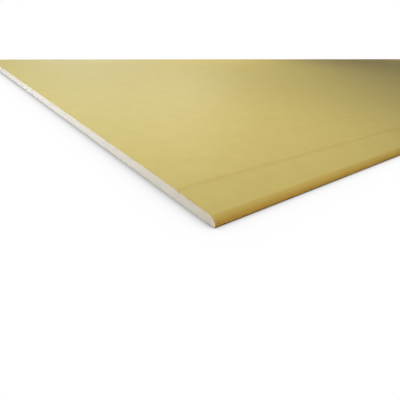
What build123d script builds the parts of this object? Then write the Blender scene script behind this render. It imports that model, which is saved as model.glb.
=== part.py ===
"""Drywall sheet: a gypsum core between a face paper and a back paper.

Millimetres. X runs along the sheet, Y across it and Z up from its back.
The origin is the middle of the back, and the face is up.
"""
import os

from build123d import *

# the sheet
sheet_length = 2700.0
sheet_width = 900.0
sheet_thickness = 12.5
paper_thickness = 0.4

# shallow recess along both long edges, for joint tape and filler:
# a narrow ramp, then a strip that falls on towards the edge
recess_width = 61.5
recess_ramp = 7.5
ramp_drop = 0.9
recess_depth = 1.6

# the face paper is folded round the long edges and glued under the back paper
flap_width = 32.0
back_paper_inset = 12.0

# section of a long edge from the back up: heel, side, nose and shoulder
edge_height = sheet_thickness - recess_depth - paper_thickness
heel_radius = 0.19 * edge_height
side_height = 0.54 * edge_height
nose_radius = 0.74 * edge_height
shoulder_run = 0.56 * edge_height
shoulder_radius = 1.02 * edge_height
ramp_radius = 2.5 * recess_ramp

# heights, and distances from the sheet's middle line
recess_z = sheet_thickness - recess_depth
ramp_foot_z = sheet_thickness - ramp_drop
side_z = paper_thickness + side_height
edge_y = sheet_width / 2
shoulder_y = edge_y - shoulder_run
ramp_foot_y = edge_y - recess_width
ramp_top_y = ramp_foot_y - recess_ramp
flap_y = edge_y - flap_width

# both ends are cut square, and every layer runs from this one to the other
cut_end = Plane.YZ.offset(-sheet_length / 2)


def wrapped_outline():
    """Draw the section inside which the face paper holds the core, in the line being built."""
    right = [
        (edge_y, paper_thickness),
        (edge_y, side_z),
        (shoulder_y, recess_z),
        (ramp_foot_y, ramp_foot_z),
        (ramp_top_y, sheet_thickness),
    ]
    left = [(-y, z) for y, z in reversed(right)]
    radii = [heel_radius, nose_radius, shoulder_radius, ramp_radius, ramp_radius]
    FilletPolyline(*right, *left, radius=radii + radii[::-1], close=True)


# core: one paper inside that outline, and down to the back paper between the flaps
with BuildPart() as gypsum_core:
    with BuildSketch(cut_end):
        with BuildLine():
            wrapped_outline()
        make_face()
        offset(amount=-paper_thickness)
        with Locations((0, 1.5 * paper_thickness)):
            Rectangle(2 * flap_y, paper_thickness)
    extrude(amount=sheet_length)

# face paper: over the face, round both long edges, and a flap under each
with BuildPart() as face_paper:
    with BuildSketch(cut_end):
        with BuildLine():
            wrapped_outline()
        make_face()
        offset(amount=-paper_thickness, mode=Mode.SUBTRACT)
        with Locations((0, 1.5 * paper_thickness)):
            Rectangle(2 * flap_y, paper_thickness, mode=Mode.SUBTRACT)
    extrude(amount=sheet_length)

# back paper: flat, laps over both flaps and stops short of the long edges
with BuildPart() as back_paper:
    with BuildSketch(cut_end):
        with Locations((0, 0.5 * paper_thickness)):
            Rectangle(sheet_width - 2 * back_paper_inset, paper_thickness)
    extrude(amount=sheet_length)

gypsum_core.part.label = "gypsum_core"
face_paper.part.label = "face_paper"
back_paper.part.label = "back_paper"

os.makedirs("parts", exist_ok=True)
export_step(gypsum_core.part, "parts/gypsum_core.step")
export_step(face_paper.part, "parts/face_paper.step")
export_step(back_paper.part, "parts/back_paper.step")
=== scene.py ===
"""Drywall sheet: the looks of its core and papers, the floor, the light and the camera. Metres."""
import math

import bpy
from mathutils import Matrix, Vector, noise


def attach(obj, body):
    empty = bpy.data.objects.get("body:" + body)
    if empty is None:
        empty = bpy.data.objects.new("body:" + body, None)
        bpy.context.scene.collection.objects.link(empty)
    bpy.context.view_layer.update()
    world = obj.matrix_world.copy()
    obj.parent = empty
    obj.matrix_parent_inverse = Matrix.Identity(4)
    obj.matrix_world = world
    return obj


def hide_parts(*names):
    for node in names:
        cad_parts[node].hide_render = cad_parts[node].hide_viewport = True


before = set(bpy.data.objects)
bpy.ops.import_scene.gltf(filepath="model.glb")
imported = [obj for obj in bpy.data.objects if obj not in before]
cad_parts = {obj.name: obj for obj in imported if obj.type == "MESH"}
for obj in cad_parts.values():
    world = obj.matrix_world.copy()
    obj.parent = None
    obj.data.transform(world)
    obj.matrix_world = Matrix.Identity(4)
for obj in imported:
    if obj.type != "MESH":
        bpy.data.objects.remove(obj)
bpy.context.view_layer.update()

# The section, as the solids have it.
LENGTH, WIDTH, THICK, PAPER = 2.7, 0.9, 0.0125, 0.0004
RECESS_WIDTH, RECESS_RAMP, RAMP_DROP, RECESS_DEPTH = 0.0615, 0.0075, 0.0009, 0.0016
FLAP, BACK_INSET = 0.032, 0.012
EDGE_HEIGHT = THICK - RECESS_DEPTH - PAPER
EDGE_Y = WIDTH / 2
FLAP_Y = EDGE_Y - FLAP

# The mesh: points along straight runs of the section, columns and rows on the cut core.
RUN_STEP = 0.003
COLUMN_STEP, CORE_ROWS = 0.0011, 12
BEND, BEND_COLUMNS = 0.013, 22
BACK_COLUMNS = 240
SLIT = 0.00002

# Relief of the cut ends.
RAGGED = 0.00004
BUBBLE_SIZE, BUBBLE_DEPTH = 0.16, 0.0001


def outline():
    """The wrapped section's right half, from its flap's slit edge round the long edge to the middle.

    Each point is (y, z, normal y, normal z).
    """
    recess_z = THICK - RECESS_DEPTH
    corners = [
        ((FLAP_Y, PAPER), 0, 0),
        ((EDGE_Y, PAPER), 0.19 * EDGE_HEIGHT, 8),
        ((EDGE_Y, PAPER + 0.54 * EDGE_HEIGHT), 0.74 * EDGE_HEIGHT, 14),
        ((EDGE_Y - 0.56 * EDGE_HEIGHT, recess_z), 1.02 * EDGE_HEIGHT, 12),
        ((EDGE_Y - RECESS_WIDTH, THICK - RAMP_DROP), 2.5 * RECESS_RAMP, 5),
        ((EDGE_Y - RECESS_WIDTH - RECESS_RAMP, THICK), 2.5 * RECESS_RAMP, 5),
        ((0.0, THICK), 0, 0),
    ]
    points = []

    def run(a, b):
        """Points along a straight run, without its last."""
        along = (b - a).normalized()
        count = max(1, round((b - a).length / RUN_STEP))
        for i in range(count):
            p = a.lerp(b, i / count)
            points.append((p.x, p.y, along.y, -along.x))

    here = Vector(corners[0][0])
    for i in range(1, len(corners)):
        corner, radius, cuts = Vector(corners[i][0]), corners[i][1], corners[i][2]
        if not radius:
            run(here, corner)
            points.append((corner.x, corner.y, 0.0, 1.0))
            break
        back = (Vector(corners[i - 1][0]) - corner).normalized()
        on = (Vector(corners[i + 1][0]) - corner).normalized()
        half = back.angle(on) / 2
        start = corner + back * radius / math.tan(half)
        end = corner + on * radius / math.tan(half)
        centre = corner + (back + on).normalized() * radius / math.sin(half)
        bulge = 1 if back.x * on.y - back.y * on.x < 0 else -1
        if (start - here).length > 1e-5:
            run(here, start)
        first, last = (start - centre).normalized(), (end - centre).normalized()
        for k in range(cuts):
            n = first.slerp(last, k / cuts)
            p = centre + n * radius
            points.append((p.x, p.y, n.x * bulge, n.y * bulge))
        here = end
    return points


HALF = outline()
WHOLE = HALF + [(-y, z, -ny, nz) for y, z, ny, nz in reversed(HALF[:-1])]


def mesh_piece(name, verts, quads, flat, materials, stands_for):
    """A piece that stands for a node.

    quads is a list of (corners, material number), and flat holds the numbers of the unsmoothed ones.
    """
    data = bpy.data.meshes.new(name)
    data.from_pydata(verts, [], [q for q, _ in quads])
    for number, polygon in enumerate(data.polygons):
        polygon.material_index = quads[number][1]
        polygon.use_smooth = number not in flat
    for material in materials:
        data.materials.append(material)
    data.validate()
    data.update()
    piece = bpy.data.objects.new(name, data)
    bpy.context.scene.collection.objects.link(piece)
    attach(piece, "root")
    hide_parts(stands_for)


def ragged(k, seed):
    """How far a paper's cut edge falls short of the cut, at this point of the section."""
    p = Vector((k * 0.37, seed, 0.0))
    fine = abs(noise.noise(p * 3.1 + Vector((0, 7, 0))))
    return RAGGED * (1 + noise.noise(p)) * (0.6 + 0.8 * fine)


def stations():
    """Distances along the sheet from its first cut end, close together near both ends."""
    near = [0.0, 0.0005, 0.0015, 0.004, 0.010, 0.025, 0.060]
    count = 22
    inner = [near[-1] + (LENGTH - 2 * near[-1]) * i / count for i in range(1, count)]
    return near + inner + [LENGTH - d for d in reversed(near)]


def paper_piece(name, section, materials, stands_for, seed):
    """A paper with the section's points on its outside, and its plies on its cut edges."""
    places = stations()
    n, m = len(section), len(places)
    verts, quads, flat = [], [], set()
    for side in (0.0, PAPER):
        for j, place in enumerate(places):
            for k, (y, z, ny, nz) in enumerate(section):
                x = place - LENGTH / 2
                if j == 0:
                    x += ragged(k, seed + side * 900)
                elif j == m - 1:
                    x -= ragged(k, seed + side * 900 + 20)
                verts.append((x, y - ny * side, z - nz * side))

    def at(side, j, k):
        return (side * m + j) * n + k

    for j in range(m - 1):
        for k in range(n - 1):
            quads.append(((at(0, j, k), at(0, j + 1, k), at(0, j + 1, k + 1), at(0, j, k + 1))[::-1], 0))
            quads.append(((at(1, j, k), at(1, j + 1, k), at(1, j + 1, k + 1), at(1, j, k + 1)), 0))
    for j, way in ((0, 1), (m - 1, -1)):
        for k in range(n - 1):
            flat.add(len(quads))
            quads.append(((at(0, j, k), at(1, j, k), at(1, j, k + 1), at(0, j, k + 1))[::-way], 1))
    for k, way in ((0, 1), (n - 1, -1)):
        for j in range(m - 1):
            flat.add(len(quads))
            quads.append(((at(0, j, k), at(0, j + 1, k), at(1, j + 1, k), at(1, j, k))[::way], 1))
    mesh_piece(name, verts, quads, flat, materials, stands_for)


def core_limits(y):
    """Lowest and highest point of the core at this distance from the middle line."""
    y = abs(y)
    inner = [(py - ny * PAPER, pz - nz * PAPER) for py, pz, ny, nz in HALF]
    tip = max(range(len(inner)), key=lambda i: inner[i][0])

    def level(run):
        for (y0, z0), (y1, z1) in zip(run, run[1:]):
            if min(y0, y1) <= y <= max(y0, y1):
                return z0 if y1 == y0 else z0 + (z1 - z0) * (y - y0) / (y1 - y0)
        return inner[tip][1]

    low = PAPER if y < FLAP_Y else level(inner[: tip + 1])
    return low, level(inner[tip:])


def pitted(y, z, seed):
    """Depth of the cut core's surface: crumbly grain and a few burst air bubbles."""
    p = Vector((y * 1000, z * 1000, seed))
    grain = noise.fractal(p * 0.45, 1.0, 2.0, 3)
    waves = noise.noise(Vector((y * 60, seed, 0)))
    hole = noise.voronoi(p * 0.22)[0][0]
    depth = 0.00004 + 0.000012 * grain + 0.00002 * waves
    if hole < BUBBLE_SIZE:
        depth += BUBBLE_DEPTH * (1 - hole / BUBBLE_SIZE)
    return max(0.0, depth)


def core_piece(name, material):
    """The core, with relief on both cut ends and plain sides behind the papers."""
    top_y = EDGE_Y - PAPER
    half = [i * COLUMN_STEP for i in range(int((FLAP_Y - 0.0006) / COLUMN_STEP) + 1)]
    half += [FLAP_Y - SLIT, FLAP_Y + SLIT]
    y = FLAP_Y + COLUMN_STEP
    while y < top_y - BEND - 0.0004:
        half.append(y)
        y += COLUMN_STEP
    half += [top_y - BEND * (1 - math.sin(math.pi / 2 * i / BEND_COLUMNS)) for i in range(BEND_COLUMNS)]
    columns = [-v for v in reversed(half[1:])] + half
    rows = CORE_ROWS
    verts, quads, flat = [], [], set()
    tips = []
    for end, way in ((0, -1), (1, 1)):
        for y in columns:
            low, high = core_limits(y)
            for r in range(rows + 1):
                z = low + (high - low) * r / rows
                verts.append((way * (LENGTH / 2 - pitted(y, z, 3 + 40 * end)), y, z))
    for end, way in ((0, -1), (1, 1)):
        for side in (-1, 1):
            low, high = core_limits(top_y)
            tips.append(len(verts))
            verts.append((way * (LENGTH / 2 - 0.0001), side * top_y, (low + high) / 2))
    n = len(columns)

    def at(end, c, r):
        return (end * n + c) * (rows + 1) + r

    for end, way in ((0, -1), (1, 1)):
        for c in range(n - 1):
            for r in range(rows):
                square = (at(end, c, r), at(end, c + 1, r), at(end, c + 1, r + 1), at(end, c, r + 1))
                quads.append((square[::way], 0))
        for r in range(rows):
            quads.append(((tips[end * 2], at(end, 0, r), at(end, 0, r + 1))[::way], 0))
            quads.append(((tips[end * 2 + 1], at(end, n - 1, r + 1), at(end, n - 1, r))[::way], 0))

    def rim(end):
        """The cut end's outline: along its bottom, and back along its top."""
        under = [at(end, c, 0) for c in range(n)]
        over = [at(end, c, rows) for c in range(n)]
        return [tips[end * 2]] + under + [tips[end * 2 + 1]] + over[::-1]

    loop0, loop1 = rim(0), rim(1)
    for i in range(len(loop0)):
        k = (i + 1) % len(loop0)
        flat.add(len(quads))
        quads.append(((loop0[i], loop0[k], loop1[k], loop1[i])[::-1], 0))
    mesh_piece(name, verts, quads, flat, [material], "gypsum_core")


def node(tree, kind, inputs=None, **settings):
    """A shader node with its settings, and values or links for its inputs."""
    made = tree.nodes.new(kind)
    for key, value in settings.items():
        setattr(made, key, value)
    for key, value in (inputs or {}).items():
        if isinstance(value, bpy.types.NodeSocket):
            tree.links.new(value, made.inputs[key])
        else:
            made.inputs[key].default_value = value
    return made


def material(name, roughness, specular):
    """A new material, with its tree, its shader and the place on the object."""
    made = bpy.data.materials.new(name)
    made.use_nodes = True
    tree = made.node_tree
    shader = tree.nodes["Principled BSDF"]
    shader.inputs["Roughness"].default_value = roughness
    shader.inputs["Specular IOR Level"].default_value = specular
    place = node(tree, "ShaderNodeTexCoord").outputs["Object"]
    return made, tree, shader, place


def grain(tree, place, scale, detail=2.0, stretch=(1, 1, 1), turn=0.0, rough=0.5):
    """Noise from 0 to 1 about 0.5, with this many cycles to the metre."""
    mapped = node(tree, "ShaderNodeMapping", {"Vector": place, "Scale": stretch, "Rotation": (0, 0, turn)})
    return node(
        tree,
        "ShaderNodeTexNoise",
        {"Vector": mapped.outputs[0], "Scale": scale, "Detail": detail, "Roughness": rough},
    ).outputs[0]


def sum_of(tree, parts, base):
    """base + the sum of weight * (value - 0.5)."""
    total = None
    for value, weight in parts:
        values = {0: value, 1: weight, 2: -0.5 * weight}
        scaled = node(tree, "ShaderNodeMath", values, operation="MULTIPLY_ADD").outputs[0]
        total = scaled if total is None else node(tree, "ShaderNodeMath", {0: total, 1: scaled}).outputs[0]
    return node(tree, "ShaderNodeMath", {0: total, 1: base}).outputs[0]


def mix(tree, factor, a, b):
    """Colour a where factor is 0, and b where it is 1."""
    made = node(tree, "ShaderNodeMix", data_type="RGBA")
    for socket, value in ((made.inputs[0], factor), (made.inputs[6], a), (made.inputs[7], b)):
        if isinstance(value, bpy.types.NodeSocket):
            tree.links.new(value, socket)
        else:
            socket.default_value = value
    return made.outputs[2]


def toned(tree, colour, tone):
    """A colour, made lighter or darker by tone."""
    return node(tree, "ShaderNodeVectorMath", {0: colour, "Scale": tone}, operation="SCALE").outputs[0]


def ramp(tree, value, low, high):
    """0 up to low, 1 from high on."""
    return node(tree, "ShaderNodeMapRange", {"Value": value, "From Min": low, "From Max": high}).outputs[0]


def bump(tree, shader, height, strength, distance):
    """Fine relief in the shading."""
    made = node(tree, "ShaderNodeBump", {"Height": height, "Strength": strength, "Distance": distance})
    tree.links.new(made.outputs[0], shader.inputs["Normal"])


def face_paper():
    """Yellow liner board: mottled, with fine fibres, and painted deeper and warmer in colour round the
    long edges, as warm light thrown back onto them.
    """
    made, tree, shader, place = material("face_liner", 0.60, 0.07)
    clouds = grain(tree, place, 9, 4)
    streaks = grain(tree, place, 1, 3, (1.6, 60, 1))
    mottle = grain(tree, place, 42, 3)
    fibres = grain(tree, place, 1, 2, (260, 1500, 1500), 0.5)
    crossed = grain(tree, place, 1, 2, (260, 1500, 1500), -0.4)
    specks = grain(tree, place, 420, 2)
    parts = [(clouds, 0.02), (streaks, 0.02), (mottle, 0.06), (fibres, 0.09), (crossed, 0.09)]
    tone = sum_of(tree, parts, 1.0)
    warm = mix(tree, ramp(tree, mottle, 0.3, 0.7), (0.545, 0.425, 0.121, 1), (0.555, 0.436, 0.130, 1))
    across = node(tree, "ShaderNodeSeparateXYZ", {0: place}).outputs["Y"]
    aside = node(tree, "ShaderNodeMath", {0: across}, operation="ABSOLUTE").outputs[0]
    # Painted light: towards the long edges the colour turns a brighter orange, in place of warm light
    # thrown back onto the edge from below.
    wrapped = mix(tree, ramp(tree, aside, EDGE_Y - 0.011, EDGE_Y - 0.001), warm, (0.65, 0.448, 0.101, 1))
    flecked = mix(tree, ramp(tree, specks, 0.70, 0.80), wrapped, (0.50, 0.36, 0.10, 1))
    tree.links.new(toned(tree, flecked, tone), shader.inputs["Base Color"])
    height = sum_of(tree, [(fibres, 0.5), (crossed, 0.5), (specks, 0.5)], 0.5)
    bump(tree, shader, height, 0.25, 0.0002)
    return made


def gypsum():
    """Set gypsum as the cut leaves it: chalky, with fine pores painted darker as the shade in them, and
    painted paler and warmer along the back paper, as light thrown up from below.
    """
    made, tree, shader, place = material("cut_gypsum", 0.95, 0.2)
    clouds = grain(tree, place, 60, 3)
    grit = grain(tree, place, 420, 2)
    crumbs = grain(tree, place, 1100, 3, rough=0.6)
    pores = node(tree, "ShaderNodeTexVoronoi", {"Vector": place, "Scale": 900.0}).outputs["Distance"]
    tone = sum_of(tree, [(clouds, 0.06), (grit, 0.16), (crumbs, 0.16)], 1.0)
    # Painted shade: the gypsum is painted darker in its pores, as the shade in these hollows.
    pores_painted_shade = mix(tree, ramp(tree, pores, 0.10, 0.25), (0.775, 0.735, 0.705, 1), (0.91, 0.865, 0.828, 1))
    # Painted light: the lowest two millimetres of the cut core are painted paler and warmer, as light
    # thrown up onto its foot from below.
    up = node(tree, "ShaderNodeSeparateXYZ", {0: place}).outputs["Z"]
    foot_painted_bounce = mix(tree, ramp(tree, up, PAPER, 0.0022), (0.98, 0.92, 0.80, 1), pores_painted_shade)
    tree.links.new(toned(tree, foot_painted_bounce, tone), shader.inputs["Base Color"])
    height = sum_of(tree, [(crumbs, 1.0), (ramp(tree, pores, 0.05, 0.3), 0.8)], 0.5)
    bump(tree, shader, height, 0.2, 0.0002)
    return made


def back_paper():
    """Grey-brown recycled liner with flecks of its pulp."""
    made, tree, shader, place = material("back_liner", 0.8, 0.25)
    clouds = grain(tree, place, 12, 4)
    streaks = grain(tree, place, 1, 3, (1.6, 50, 1))
    fibres = grain(tree, place, 1, 2, (220, 1300, 1300), 0.4)
    crossed = grain(tree, place, 1, 2, (220, 1300, 1300), -0.5)
    specks = grain(tree, place, 260, 2)
    tone = sum_of(tree, [(clouds, 0.12), (streaks, 0.08), (fibres, 0.14), (crossed, 0.14)], 1.0)
    flecked = mix(tree, ramp(tree, specks, 0.66, 0.74), (0.50, 0.43, 0.32, 1), (0.27, 0.22, 0.16, 1))
    tree.links.new(toned(tree, flecked, tone), shader.inputs["Base Color"])
    height = sum_of(tree, [(fibres, 0.6), (crossed, 0.6), (specks, 0.3)], 0.5)
    bump(tree, shader, height, 0.3, 0.0002)
    return made


def plies():
    """The cut or slit edge of a paper: pale plies with torn fibres."""
    made, tree, shader, place = material("paper_plies", 0.9, 0.2)
    layers = grain(tree, place, 1, 2, (300, 300, 9000))
    tufts = grain(tree, place, 1500, 2)
    tone = sum_of(tree, [(layers, 0.25), (tufts, 0.25)], 1.0)
    tree.links.new(toned(tree, (0.96, 0.90, 0.77), tone), shader.inputs["Base Color"])
    bump(tree, shader, tufts, 0.4, 0.0002)
    return made


ply = plies()
core_piece("core_body", gypsum())
paper_piece("face_sheet", WHOLE, [face_paper(), ply], "face_paper", 1.0)
back_y = EDGE_Y - BACK_INSET
flat_back = [(back_y * (2 * i / BACK_COLUMNS - 1), 0.0, 0.0, -1.0) for i in range(BACK_COLUMNS + 1)]
paper_piece("back_sheet", flat_back, [back_paper(), ply], "back_paper", 60.0)

# Floor and backdrop.
floor_mesh = bpy.data.meshes.new("floor")
floor_mesh.from_pydata([(-30, -30, 0), (30, -30, 0), (30, 30, 0), (-30, 30, 0)], [], [(0, 1, 2, 3)])
floor = bpy.data.objects.new("floor", floor_mesh)
floor.location.z = -0.0001
bpy.context.scene.collection.objects.link(floor)

WORLD_LEVEL = 0.15
# The floor in front of the long edge throws back a warmer light, and its painted shadow is warmer there,
# up to this line.
FRONT_FROM, FRONT_TO = -0.47, -0.44


def seen_directly(tree):
    """1 for a ray from the camera or off something glossy or clear, else 0."""
    path = node(tree, "ShaderNodeLightPath").outputs
    rays = {0: path["Is Camera Ray"], 1: path["Is Glossy Ray"]}
    first = node(tree, "ShaderNodeMath", rays, operation="MAXIMUM").outputs[0]
    rays = {0: first, 1: path["Is Transmission Ray"]}
    return node(tree, "ShaderNodeMath", rays, operation="MAXIMUM").outputs[0]


def floor_material():
    """White where it is seen, with a painted shadow close to the sheet, warmer in front of the long edge,
    and pale for the light that it throws back.
    """
    made = bpy.data.materials.new("floor")
    made.use_nodes = True
    tree = made.node_tree
    tree.nodes.remove(tree.nodes["Principled BSDF"])
    # Painted shadow: the floor that is seen glows white and is painted darker where the sheet is near,
    # from the ambient occlusion.
    around = node(tree, "ShaderNodeAmbientOcclusion", {"Distance": 0.05}, samples=24).outputs["AO"]
    hidden = node(tree, "ShaderNodeMath", {0: 1.0, 1: around}, operation="SUBTRACT").outputs[0]
    closer = node(tree, "ShaderNodeMath", {0: hidden, 1: 1.5}, operation="POWER").outputs[0]
    shaded = node(tree, "ShaderNodeMath", {0: closer, 1: 1.8}, operation="MULTIPLY").outputs[0]
    place = node(tree, "ShaderNodeTexCoord").outputs["Object"]
    across = node(tree, "ShaderNodeSeparateXYZ", {0: place}).outputs["Y"]
    painted_shadow_tint = mix(tree, ramp(tree, across, FRONT_FROM, FRONT_TO), (0.16, 0.06, 0.0, 1), (0.03, 0.02, 0.01, 1))
    colour = mix(tree, shaded, (1, 1, 1, 1), painted_shadow_tint)
    seen = node(tree, "ShaderNodeEmission", {"Color": colour})
    front = ramp(tree, across, FRONT_FROM, FRONT_TO)
    thrown = mix(tree, front, (0.97, 0.68, 0.24, 1), (0.85, 0.77, 0.60, 1))
    plain = node(tree, "ShaderNodeBsdfDiffuse", {"Color": thrown})
    shaders = {0: seen_directly(tree), 1: plain.outputs[0], 2: seen.outputs[0]}
    both = node(tree, "ShaderNodeMixShader", shaders)
    tree.links.new(both.outputs[0], tree.nodes["Material Output"].inputs["Surface"])
    return made


floor.data.materials.append(floor_material())

world = bpy.data.worlds.new("studio")
bpy.context.scene.world = world
world.use_nodes = True
sky = world.node_tree
backdrop = sky.nodes["Background"]
sky_colour = mix(sky, seen_directly(sky), (1.0, 0.93, 0.70, 1), (1, 1, 1, 1))
sky.links.new(sky_colour, backdrop.inputs["Color"])
levels = {"Value": seen_directly(sky), "To Min": WORLD_LEVEL, "To Max": 1.0}
strength = node(sky, "ShaderNodeMapRange", levels).outputs[0]
sky.links.new(strength, backdrop.inputs["Strength"])


def area_lamp(name, place, aim, size, power, colour, spread=180):
    """A square lamp that the camera doesn't see, in watts, with its beam's spread in degrees."""
    lamp = bpy.data.lights.new(name, "AREA")
    lamp.color = colour
    lamp.shape = "SQUARE"
    lamp.size = size
    lamp.energy = power
    lamp.spread = math.radians(spread)
    made = bpy.data.objects.new(name, lamp)
    made.location = place
    made.visible_camera = False
    made.rotation_euler = (Vector(aim) - Vector(place)).to_track_quat("-Z", "Y").to_euler()
    bpy.context.scene.collection.objects.link(made)


area_lamp("key", (-2.15, -0.05, 0.60), (-1.75, 0.6, 0.0), 0.40, 8.7, (0.83, 0.90, 1.0))
area_lamp("fill", (-1.13, -0.43, 0.74), (-1.42, 0.6, 0.0), 0.68, 5.35, (0.91, 0.93, 1.0))
area_lamp("side", (-0.39, 0.86, 0.67), (-1.55, -0.2, 0.0), 0.40, 6.1, (0.98, 0.99, 0.965))
area_lamp("back", (-0.30, 2.70, 1.10), (-2.60, 0.30, 0.0), 1.10, 24.3, (0.72, 0.89, 1.0))
area_lamp("far", (1.50, -0.10, 0.85), (1.50, -0.10, 0.0), 0.60, 2.0, (1.0, 0.97, 0.92), 80)

# Camera, from the lines of the photograph: its focal length and the picture's width in pixels,
# and its place from the sheet's near corner.
FOCAL, PICTURE = 346.497, 400
FROM_END, FROM_EDGE, UP = 0.20767, 0.19705, 0.18894
yaw, pitch, roll = (math.radians(a) for a in (47.011, 29.062, -6.770))
ahead = Vector((math.cos(yaw) * math.cos(pitch), math.sin(yaw) * math.cos(pitch), -math.sin(pitch)))
right = Vector((math.sin(yaw), -math.cos(yaw), 0.0))
down = ahead.cross(right)
right, down = (
    math.cos(roll) * right + math.sin(roll) * down,
    math.cos(roll) * down - math.sin(roll) * right,
)
turned = Matrix((right, -down, -ahead)).transposed().to_4x4()
turned.translation = (-LENGTH / 2 - FROM_END, -WIDTH / 2 - FROM_EDGE, UP)
lens = bpy.data.cameras.new("camera")
lens.sensor_width = 36.0
lens.lens = lens.sensor_width * FOCAL / PICTURE
lens.clip_start = 0.01
camera = bpy.data.objects.new("camera", lens)
camera.matrix_world = turned
bpy.context.scene.collection.objects.link(camera)
bpy.context.scene.camera = camera
bpy.context.scene.view_settings.view_transform = "Standard"
